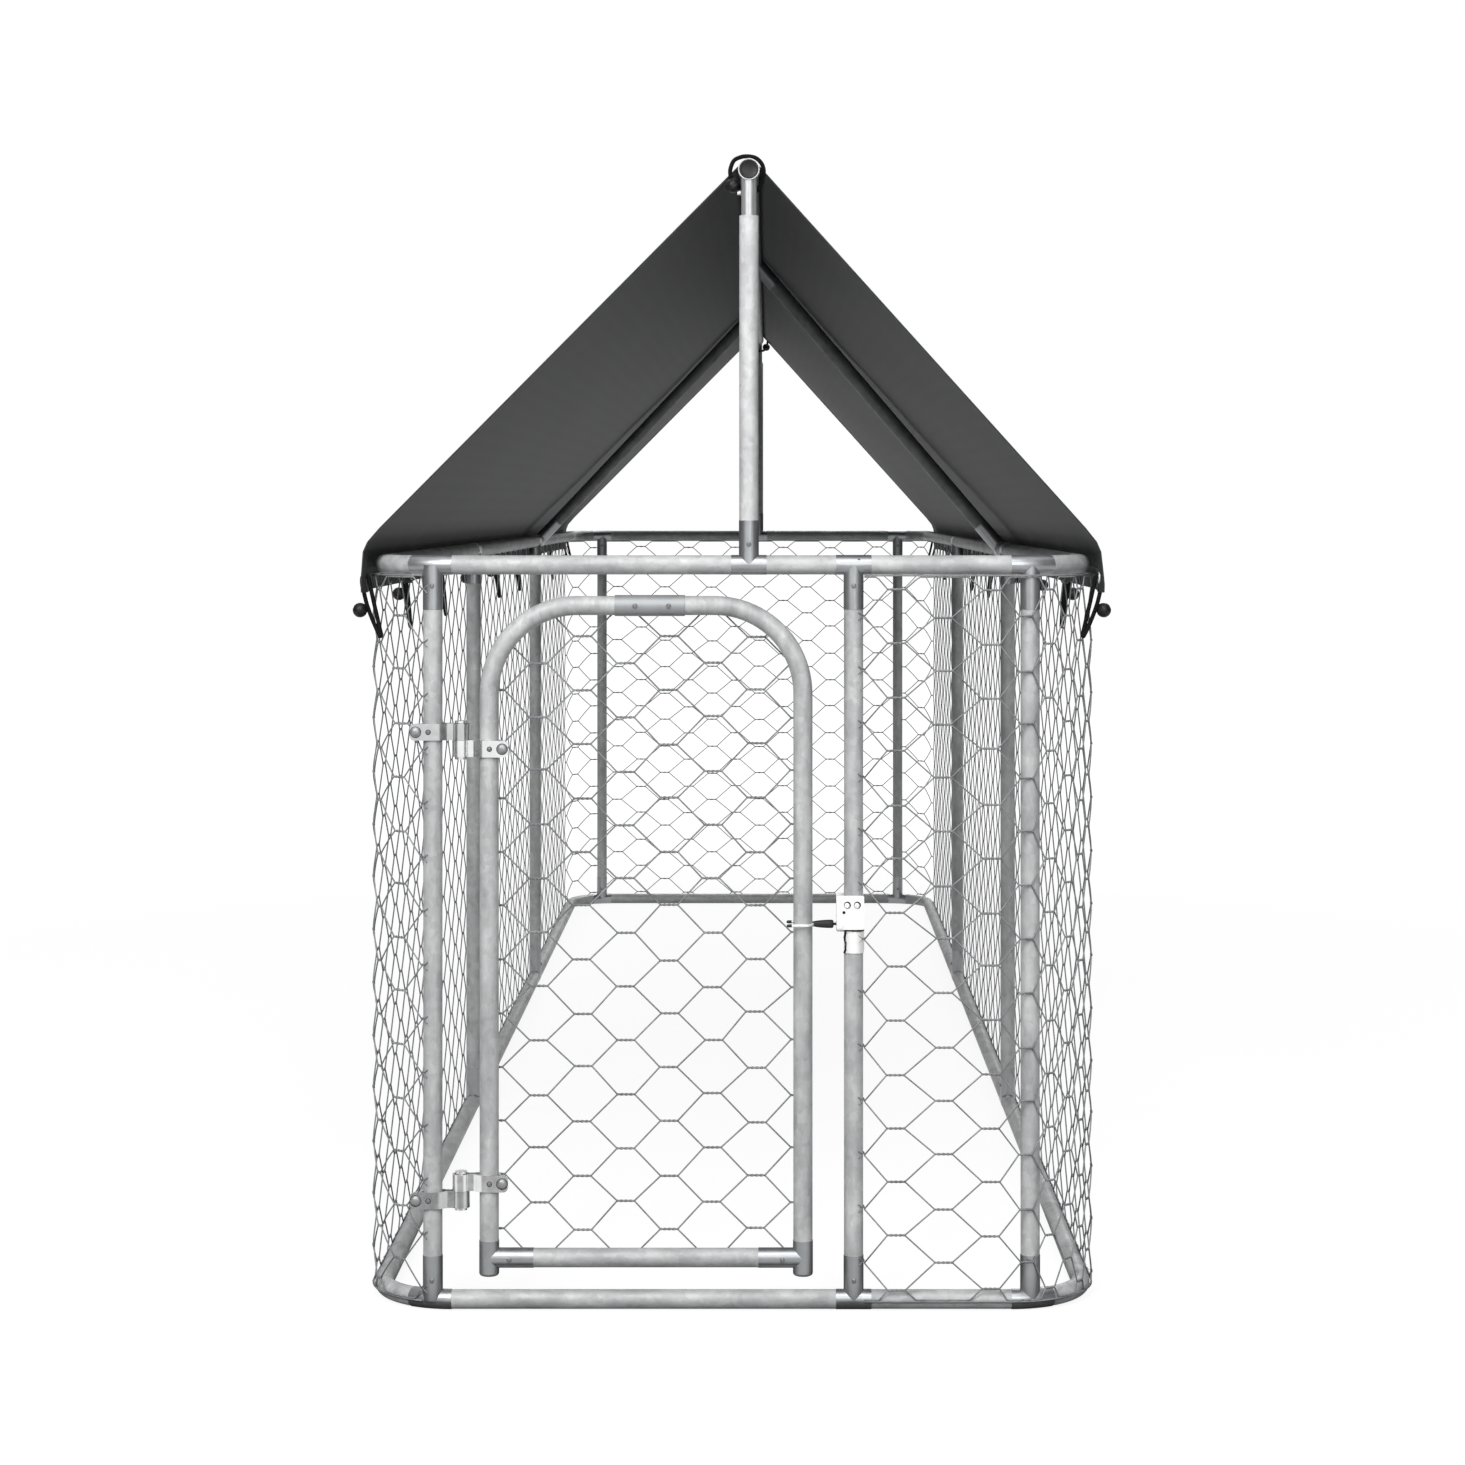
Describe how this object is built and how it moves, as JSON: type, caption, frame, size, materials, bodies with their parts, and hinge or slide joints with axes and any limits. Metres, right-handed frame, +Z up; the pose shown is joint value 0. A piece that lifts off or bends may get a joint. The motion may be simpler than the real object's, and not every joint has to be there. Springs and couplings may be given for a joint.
{
  "type": "outdoor dog kennel run",
  "caption": "Long outdoor kennel run of galvanised tube and hexagonal wire netting, with a hinged door, fork latch and a pitched dark roof sheet held by ball bungees.",
  "frame": {"origin": "on the ground, under the middle of the run", "axes": "+X across the width to the right of someone facing the door, +Y along the run away from the door, +Z up"},
  "size_m": [1.0052, 4.0124, 1.5032],
  "materials": {
    "galvanised_tube": "hot-dip galvanised, softly mottled",
    "zinc_fitting": "smooth zinc plate, shinier than the tube",
    "bright_zinc": "bright zinc plate",
    "netting_wire": "galvanised wire",
    "roof_fabric": "dark grey coated woven sheet, matt",
    "bungee_cord": "black braided elastic cord",
    "black_plastic": "moulded black plastic",
    "fork_steel": "dark plated steel"
  },
  "bodies": {
    "frame": {"front_bottom_rail": "galvanised_tube", "back_bottom_rail": "galvanised_tube", "left_bottom_rail": "galvanised_tube", "right_bottom_rail": "galvanised_tube", "front_top_rail": "galvanised_tube", "back_top_rail": "galvanised_tube", "left_top_rail": "galvanised_tube", "right_top_rail": "galvanised_tube", "front_bends": "galvanised_tube", "back_bends": "galvanised_tube", "front_corner_posts": "galvanised_tube", "middle_post": "galvanised_tube", "left_posts": "galvanised_tube", "right_posts": "galvanised_tube", "back_posts": "galvanised_tube", "front_bottom_tees": "zinc_fitting", "front_top_tees": "zinc_fitting", "back_tees": "zinc_fitting", "left_tees": "zinc_fitting", "right_tees": "zinc_fitting", "front_ridge_post": "galvanised_tube", "back_ridge_post": "galvanised_tube", "ridge_tubes": "galvanised_tube", "front_ridge_tee": "zinc_fitting", "back_ridge_tee": "zinc_fitting", "ridge_end_caps": "black_plastic", "rafter_tees": "zinc_fitting", "rafter_feet": "zinc_fitting", "right_rafter": "galvanised_tube", "left_rafter": "galvanised_tube", "frame_screws": "bright_zinc", "left_net": "netting_wire", "right_net": "netting_wire", "back_net": "netting_wire", "front_net": "netting_wire", "corner_nets": "netting_wire", "roof_cover": "roof_fabric", "roof_eyelets": "bright_zinc", "bungee_loops": "bungee_cord", "bungee_balls": "black_plastic", "upper_post_hinge": "bright_zinc", "lower_post_hinge": "bright_zinc", "post_hinge_bolts": "bright_zinc", "hinge_pins": "bright_zinc", "latch_bracket": "bright_zinc", "latch_screws": "bright_zinc", "latch_pivot": "bright_zinc"},
    "door": {"door_left_stile": "galvanised_tube", "door_right_stile": "galvanised_tube", "door_top_sleeve": "zinc_fitting", "door_bottom_rail": "galvanised_tube", "door_corner_tees": "zinc_fitting", "door_net": "netting_wire", "door_screws": "bright_zinc", "upper_door_hinge": "bright_zinc", "lower_door_hinge": "bright_zinc", "door_hinge_bolts": "bright_zinc"},
    "latch": {"latch_fork": "fork_steel"}
  },
  "joints": [
    {"name": "door_swing", "type": "hinge", "parent": "frame", "child": "door", "pos_m": [-0.35275, -1.9875, 0.45], "axis": [0, 0, -1], "range_deg": [0, 110]},
    {"name": "latch_lift", "type": "hinge", "parent": "frame", "child": "latch", "pos_m": [0.141, -1.9875, 0.502], "axis": [0, 1, 0], "range_deg": [0, 70]}
  ]
}
